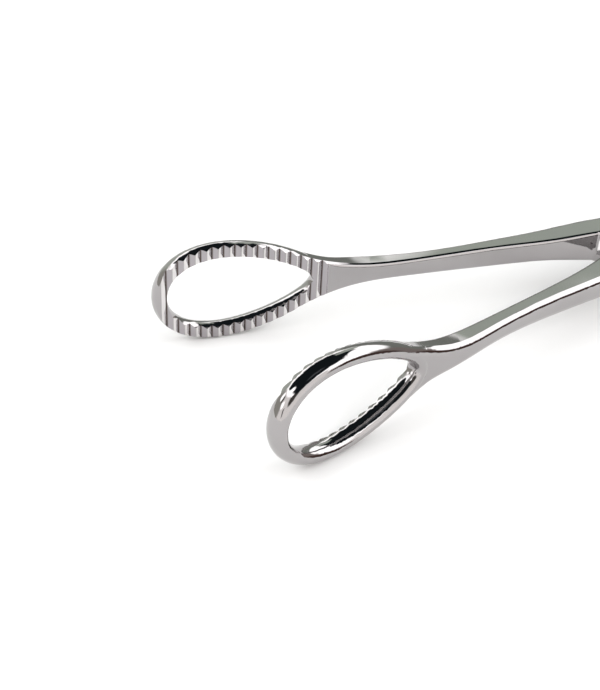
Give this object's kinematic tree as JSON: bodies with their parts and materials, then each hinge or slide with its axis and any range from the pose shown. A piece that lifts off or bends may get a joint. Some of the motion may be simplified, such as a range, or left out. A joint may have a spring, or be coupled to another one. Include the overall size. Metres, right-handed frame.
{
  "type": "sponge holding forceps",
  "caption": "Box-lock sponge holding forceps with fenestrated, cross-serrated oval jaws, long shanks, ratchet bars and finger rings.",
  "frame": {"origin": "pivot axis at the lower face of the box lock", "axes": "+X from the jaws towards the finger rings, +Y across the open arms towards the box arm's jaw, +Z along the pivot axis"},
  "size_m": [0.2394, 0.1274, 0.0152],
  "materials": {
    "polished_steel": "polished"
  },
  "bodies": {
    "box_arm": {"box_arm": "polished_steel", "pivot_pin": "polished_steel"},
    "tongue_arm": {"tongue_arm": "polished_steel"}
  },
  "joints": [
    {"name": "lock_hinge", "type": "hinge", "parent": "box_arm", "child": "tongue_arm", "pos_m": [0, 0, 0.0028], "axis": [0, 0, 1], "range_deg": [-23.9, 24.1]}
  ]
}
